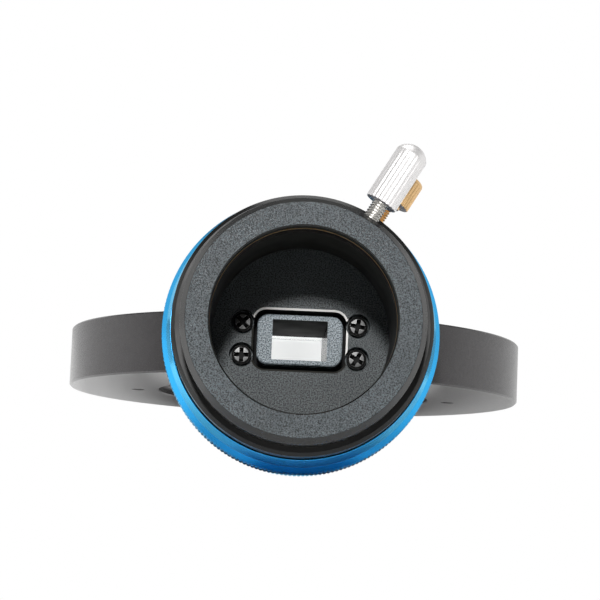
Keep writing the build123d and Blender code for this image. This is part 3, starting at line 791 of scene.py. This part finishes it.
def make_compression_ring():
    """Split brass ring in the bore, near-black with painted shade except along its near lip."""
    near, far = CLAMP_DEPTH - COMPRESSION_HALF, CLAMP_DEPTH + COMPRESSION_HALF
    outer = BORE_RADIUS + COMPRESSION_WALL
    corners = [
        (near, BORE_RADIUS, 0.2), (near, outer, 0.1), (far, outer, 0.1), (far, BORE_RADIUS, 0.2),
        (near + COMPRESSION_LIP, BORE_RADIUS, 0),
    ]
    ring = turned("squeeze_ring", rounded(corners, 4), PORT, BASE_SEGMENTS)
    axis = radial_axis(CLAMP_DEPTH, CLAMP_ANGLE + 180)
    rows = []
    for reach in (BORE_RADIUS - 2, BORE_RADIUS + 2):
        centre = axis.origin + axis.along * reach * MM
        rows.append([
            centre + (axis.side * a * 3 + axis.cross * b * COMPRESSION_SPLIT) * MM
            for a, b in ((1, 1), (-1, 1), (-1, -1), (1, -1))
        ])
    cut(ring, skinned("split", rows))
    place(ring, "focus_tube", "brass", BRASS, "compression_ring")
    # painted shade on all of the ring beyond its near lip
    paint(ring, BRASS_SHADE, lambda face: depth_of(face.center) > near + COMPRESSION_LIP)


# ---------------------------------------------------------------- thumbscrews

PITCH = 0.5
CREST, ROOT = 1.45, 1.18
PAD_PROUD, PAD_POCKET, PAD_HOLE = 0.35, 1.0, 0.86


def thread(start, end, slim=0.0):
    """Shape of an M3 thread: a real helix that runs out at both ends."""
    root = ROOT - slim

    def shape(depth, radius, angle):
        if radius < root - 0.01 or not start < depth < end:
            return radius
        phase = (depth / PITCH - angle / (2 * math.pi)) % 1
        ridge = 1 - abs(2 * phase - 1)
        fade = min(1, (depth - start) / PITCH, (end - depth) / PITCH)
        return root + (CREST - ROOT) * min(1, 1.15 * ridge) * fade
    return shape


def stud_outline(tip, end, slim=0.0):
    """Outline of a threaded stud with a pocket for its pad, and where the thread starts."""
    start = tip + PAD_PROUD
    steps = int((end - start) / PITCH * 8)
    outline = [(start + PAD_POCKET, 0), (start + PAD_POCKET, PAD_HOLE), (start, PAD_HOLE)]
    outline += [(start + (end - start) * k / steps, ROOT - slim) for k in range(steps + 1)]
    return outline + [(end, 0)], start


def fluted(outer, depth, flutes, power, start, end):
    """Shape of a knob with rounded ribs that fade into its end."""
    def shape(along, radius, angle):
        if radius < 0.6 * outer:
            return radius
        wave = abs(math.sin(angle * flutes / 2)) ** power
        fade = min(1, max(0, (end - along) / 0.4)) * min(1, max(0, (along - start) / 0.05))
        return radius - depth * (1 - wave) * fade
    return shape


CLAMP_PAD, CLAMP_KNOB_START, CLAMP_KNOB_END, CLAMP_KNOB_RADIUS = 17.0, 24.45, 36.2, 2.9
CLAMP_GRIP, CLAMP_DOME = 4.0, 1.9
LOCK_PAD, LOCK_KNOB_START, LOCK_KNOB_END, LOCK_KNOB_RADIUS = 22.0, 30.7, 36.45, 3.7
LOCK_NECK, LOCK_NECK_RADIUS, LOCK_DOME = 0.8, 2.2, 0.8
LOCK_SLIM, LOCK_STUD_LAP = 0.25, 0.3
CLAMP_FLUTE_DEPTH, CLAMP_FLUTES, CLAMP_FLUTE_POWER = 0.13, 20, 0.9
LOCK_FLUTE_DEPTH, LOCK_FLUTES, LOCK_FLUTE_POWER = 0.3, 24, 0.9
KNOB_SOCKET = CREST + 0.02


def grey_foot(knob, axis):
    """Satin foot on a thumbscrew's knob: every face that looks down the axis."""
    paint(knob, FOOT, lambda face: face.normal.dot(axis.along) < -0.8)


def make_clamp_screw():
    """Silver thumbscrew: a threaded stud and a long fluted knob with a domed end."""
    axis = radial_axis(CLAMP_DEPTH, CLAMP_ANGLE)
    end = CLAMP_KNOB_START + CLAMP_GRIP
    outline, start = stud_outline(CLAMP_PAD, end)
    stud = turned("clamp_thread", outline, axis, STUD_SEGMENTS, thread(start, end))
    place(stud, "clamp_screw", "steel", STEEL, "clamp_screw_stud")
    r, low, high = CLAMP_KNOB_RADIUS, CLAMP_KNOB_START, CLAMP_KNOB_END
    foot = rounded([(low, 0, 0), (low, r, 0.2), (high - CLAMP_DOME, r, 0)], 4)[1:-1]
    steps = 16
    shaft = [
        (low + 0.4 + (high - CLAMP_DOME - low - 0.4) * k / steps, r) for k in range(steps + 1)
    ]
    sphere = (r * r + CLAMP_DOME ** 2) / (2 * CLAMP_DOME)
    sweep = math.asin((r - 0.08) / sphere)
    dome = []
    for k in range(steps):
        a = sweep * (1 - k / steps)
        dome.append((high - sphere + sphere * math.cos(a), sphere * math.sin(a)))
    outline = [(low, KNOB_SOCKET)] + foot + shaft + dome
    outline += [(high, 0), (end, 0), (end, KNOB_SOCKET)]
    ribs = fluted(r, CLAMP_FLUTE_DEPTH, CLAMP_FLUTES, CLAMP_FLUTE_POWER, low, high - CLAMP_DOME)
    knob = turned("clamp_knob", outline, axis, KNOB_SEGMENTS, ribs)
    place(knob, "clamp_screw", "knob_nickel", NICKEL, "clamp_screw_knob")
    grey_foot(knob, axis)


def make_lock_screw():
    """Brass thumbscrew: a thinner stud and a short fluted knob."""
    axis = radial_axis(LOCK_DEPTH, LOCK_ANGLE)
    neck = LOCK_KNOB_START - LOCK_NECK
    end = neck + LOCK_STUD_LAP
    outline, start = stud_outline(LOCK_PAD, end, LOCK_SLIM)
    helix = thread(start, end, LOCK_SLIM)
    stud = turned("lock_thread", outline, axis, STUD_SEGMENTS, helix)
    r, low, high = LOCK_KNOB_RADIUS, LOCK_KNOB_START, LOCK_KNOB_END
    corners = [
        (neck, 0, 0), (neck, LOCK_NECK_RADIUS, 0.25), (low, LOCK_NECK_RADIUS, 0), (low, r, 0.25),
        (high, r, LOCK_DOME), (high, 0, 0),
    ]
    ribs = fluted(r, LOCK_FLUTE_DEPTH, LOCK_FLUTES, LOCK_FLUTE_POWER, low, high - LOCK_DOME)
    knob = turned("lock_knob", rounded(corners, 6), axis, KNOB_SEGMENTS, ribs)
    place(stud, "lock_screw", "brass", BRASS)
    place(knob, "lock_screw", "brass", BRASS, "lock_screw")
    grey_foot(knob, axis)


# ---------------------------------------------------------------- pieces that keep their CAD shape

TUNNEL_WIDTH, TUNNEL_HEIGHT = 10.02, 7.32


def dress(node, material):
    """Give a CAD node that keeps its shape this material."""
    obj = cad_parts[node]
    obj.data.materials.clear()
    obj.data.materials.append(material)
    return obj


def dress_prism():
    """Glass with a mirror coat on its long face."""
    prism = dress("prism", GLASS)
    paint(prism, MIRROR, lambda face: face.normal.y > 0.5 and face.normal.z > 0.5)


def dress_stalk():
    """Pale blasted outside, painted shade on the floor and ceiling in the tunnel, shiny tunnel
    walls.
    """
    stalk = dress("prism_stalk", STALK)
    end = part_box("prism_stalk")[0].y

    def in_tunnel(face):
        x, z = face.center.x / MM, (face.center.z - PORT_Z) / MM
        inside = abs(x) < TUNNEL_WIDTH / 2 and abs(z) < TUNNEL_HEIGHT / 2
        return inside and face.center.y > end + 0.1 * MM

    # painted shade on the tunnel's floor and ceiling
    paint(stalk, SHADE_BLACK, in_tunnel)
    paint(stalk, WALL, lambda face: in_tunnel(face) and abs(face.normal.x) > 0.5)


# ---------------------------------------------------------------- camera, floor and light

# Metres and degrees. CARD_LEFT and CARD_RIGHT are the x where the card's glow starts and where it
# is full, and its strength at each. The world's levels go with how far a direction points along
# Y (depth) and Z (height), from -1 to 1.
CAMERA_AZIMUTH, CAMERA_ELEVATION, CAMERA_ROLL = -1.0, 7.6, 2.39
CAMERA_DISTANCE, CAMERA_RIGHT, CAMERA_UP = 0.3852, 0.000655, -0.00319
CAMERA_LENS, CAMERA_SENSOR, CAMERA_CLIP = 137.8, 36, 0.01
FLOOR_DROP, FLOOR_REACH, FLOOR_THICKNESS = 0.07, 3, 0.01
CARD_TOUCH_Y, CARD_TOUCH_Z = -0.055, -0.0191
CARD_HALF_WIDTH, CARD_NEAR, CARD_FAR = 0.35, -0.078, 0.25
CARD_SPOT, CARD_SPOT_EDGE, CARD_WINDOW, CARD_FRONT = 0.0325, 0.94, 0.85, 0.13
CARD_FRONT_START, CARD_FRONT_FULL = CARD_TOUCH_Y - 0.001, CARD_TOUCH_Y - 0.006
CARD_LEFT, CARD_RIGHT = (-0.023, -0.041, 0.0, 0.62), (0.02, 0.045, 0.0, 0.32)
KEY_AT, KEY_SIZE, KEY_POWER, KEY_AIM = (-0.05, -0.95, 0.268), 0.075, 9.2, (0, -0.08, 0)
TOP_AT, TOP_SIZE, TOP_POWER, TOP_AIM = (0, 0.02, 0.62), 0.42, 1.3, (0, 0, 0)
WORLD_DEPTH = [(-1, 0.012), (-0.6, 0.02), (-0.15, 0.75), (0.1, 1)]
WORLD_HEIGHT = [(-1, 0.8), (0.3, 1), (0.5, 0.9), (0.6, 0.15), (0.85, 0.1)]


def make_camera():
    """Camera that looks up into the port. Its angles are in degrees, its distances in metres."""
    azimuth, elevation, roll = map(math.radians, (CAMERA_AZIMUTH, CAMERA_ELEVATION, CAMERA_ROLL))
    look = Vector((
        -math.sin(azimuth) * math.cos(elevation),
        math.cos(azimuth) * math.cos(elevation),
        math.sin(elevation),
    ))
    level = look.cross(Vector((0, 0, 1))).normalized()
    plumb = level.cross(look)
    right = level * math.cos(roll) + plumb * math.sin(roll)
    up = plumb * math.cos(roll) - level * math.sin(roll)
    data = bpy.data.cameras.new("camera")
    data.lens = CAMERA_LENS
    data.sensor_width = CAMERA_SENSOR
    data.clip_start = CAMERA_CLIP
    camera = bpy.data.objects.new("camera", data)
    bpy.context.scene.collection.objects.link(camera)
    place_at = MOUTH - look * CAMERA_DISTANCE - right * CAMERA_RIGHT - up * CAMERA_UP
    turn = Matrix((right, up, -look)).transposed().to_4x4()
    camera.matrix_world = Matrix.Translation(place_at) @ turn
    bpy.context.scene.camera = camera


def make_floor():
    """Pale paper floor, a little below the object."""
    reach, top = FLOOR_REACH, -FLOOR_DROP
    floor = block("floor", (-reach, -reach, top - FLOOR_THICKNESS), (reach, reach, top))
    s = Shader("floor_paper")
    fibre = s.noise(700, 4.0)
    floor.data.materials.append(s.surface(
        Base_Color=s.mix(s.range(fibre, 0.3, 0.7), (0.8, 0.8, 0.8, 1), (0.76, 0.76, 0.755, 1)),
        Roughness=0.8,
    ))


def make_light(name, at, size, power, aim):
    """Square white softbox turned to its aim."""
    data = bpy.data.lights.new(name, "AREA")
    data.shape = "RECTANGLE"
    data.size = data.size_y = size
    data.energy = power
    light = bpy.data.objects.new(name, data)
    bpy.context.scene.collection.objects.link(light)
    light.location = at
    light.rotation_mode = "QUATERNION"
    light.rotation_quaternion = (Vector(aim) - Vector(at)).to_track_quat("-Z", "Y")


def make_card():
    """White table under the object, seen only in its reflections: it touches the focusing ring and
    the body's far edge, as when the part lies on them. It glows, as painted light that no lamp
    gives, towards its left and right sides, in front, and in a round spot below the optical axis
    that the prism mirrors, to place bright reflections in the object."""
    slope = -CARD_TOUCH_Z / (BODY_RADIUS * MM - CARD_TOUCH_Y)
    bm = bmesh.new()
    corners = []
    for side, y in ((-1, CARD_NEAR), (1, CARD_NEAR), (1, CARD_FAR), (-1, CARD_FAR)):
        z = CARD_TOUCH_Z + (y - CARD_TOUCH_Y) * slope
        corners.append(bm.verts.new((side * CARD_HALF_WIDTH, y, z)))
    bm.faces.new(corners)
    card = make_object("card", bm)
    s = Shader("card_paper_painted_glow")
    fibre = s.noise(500, 3.0)
    x, y, _ = s.split()
    reach = s.add("ShaderNodeVectorMath", {0: s.coordinates}, operation="LENGTH").outputs["Value"]
    beside = s.math("MAXIMUM", s.range(x, *CARD_LEFT), s.range(x, *CARD_RIGHT))
    ahead = s.range(y, CARD_FRONT_START, CARD_FRONT_FULL, 0.0, CARD_FRONT)
    below = s.range(reach, CARD_SPOT, CARD_SPOT * CARD_SPOT_EDGE, 0.0, CARD_WINDOW)
    # painted light: emission shaped to place reflections, on a paper base colour
    card.data.materials.append(s.surface(
        Base_Color=s.mix(s.range(fibre, 0.3, 0.7), (0.9, 0.9, 0.9, 1), (0.87, 0.87, 0.865, 1)),
        Roughness=0.9,
        Emission_Color=(1, 1, 1, 1),
        Emission_Strength=s.math("MAXIMUM", s.math("MAXIMUM", beside, ahead), below),
    ))
    card.visible_camera = False
    card.visible_shadow = False


def make_world():
    """White tent: bright behind, beside and above the object, dark in front of it. The camera
    itself sees plain white."""
    world = bpy.data.worlds.new("studio")
    bpy.context.scene.world = world
    world.use_nodes = True
    tree = world.node_tree
    nodes, links = tree.nodes, tree.links
    split = nodes.new("ShaderNodeSeparateXYZ")
    links.new(nodes.new("ShaderNodeTexCoord").outputs["Generated"], split.inputs[0])

    def curve(source, stops):
        ramp = nodes.new("ShaderNodeValToRGB")
        half = nodes.new("ShaderNodeMath")
        half.operation = "MULTIPLY_ADD"
        half.inputs[1].default_value = 0.5
        half.inputs[2].default_value = 0.5
        links.new(source, half.inputs[0])
        links.new(half.outputs[0], ramp.inputs[0])
        elements = ramp.color_ramp.elements
        while len(elements) < len(stops):
            elements.new(0.5)
        for element, (position, level) in zip(elements, stops):
            element.position = (position + 1) / 2
            element.color = (level, level, level, 1)
        return ramp.outputs[0]

    depth = curve(split.outputs["Y"], WORLD_DEPTH)
    height = curve(split.outputs["Z"], WORLD_HEIGHT)
    product = nodes.new("ShaderNodeMath")
    product.operation = "MULTIPLY"
    links.new(depth, product.inputs[0])
    links.new(height, product.inputs[1])
    path = nodes.new("ShaderNodeLightPath")
    strength = nodes.new("ShaderNodeMath")
    strength.operation = "MAXIMUM"
    links.new(product.outputs[0], strength.inputs[0])
    links.new(path.outputs["Is Camera Ray"], strength.inputs[1])
    background = nodes["Background"]
    links.new(strength.outputs[0], background.inputs["Strength"])
    background.inputs["Color"].default_value = (1, 1, 1, 1)


make_camera()
make_floor()
make_card()
make_world()
make_light("softbox_key", KEY_AT, KEY_SIZE, KEY_POWER, KEY_AIM)
make_light("softbox_top", TOP_AT, TOP_SIZE, TOP_POWER, TOP_AIM)
bpy.context.scene.view_settings.view_transform = "Standard"

make_body()
make_base()
make_screws()
make_ring()
make_holder()
make_drawtube()
make_compression_ring()
make_clamp_screw()
make_lock_screw()
dress_prism()
dress_stalk()
for node, material in (
    ("prism_cover", BORE), ("ring_carrier", BORE), ("ring_retainer", STEEL),
    ("slip_washer", NYLON), ("guide_pins", STEEL), ("stalk_lock_screws", OXIDE),
    ("clamp_screw_pad", NYLON), ("lock_screw_pad", NYLON),
):
    dress(node, material)
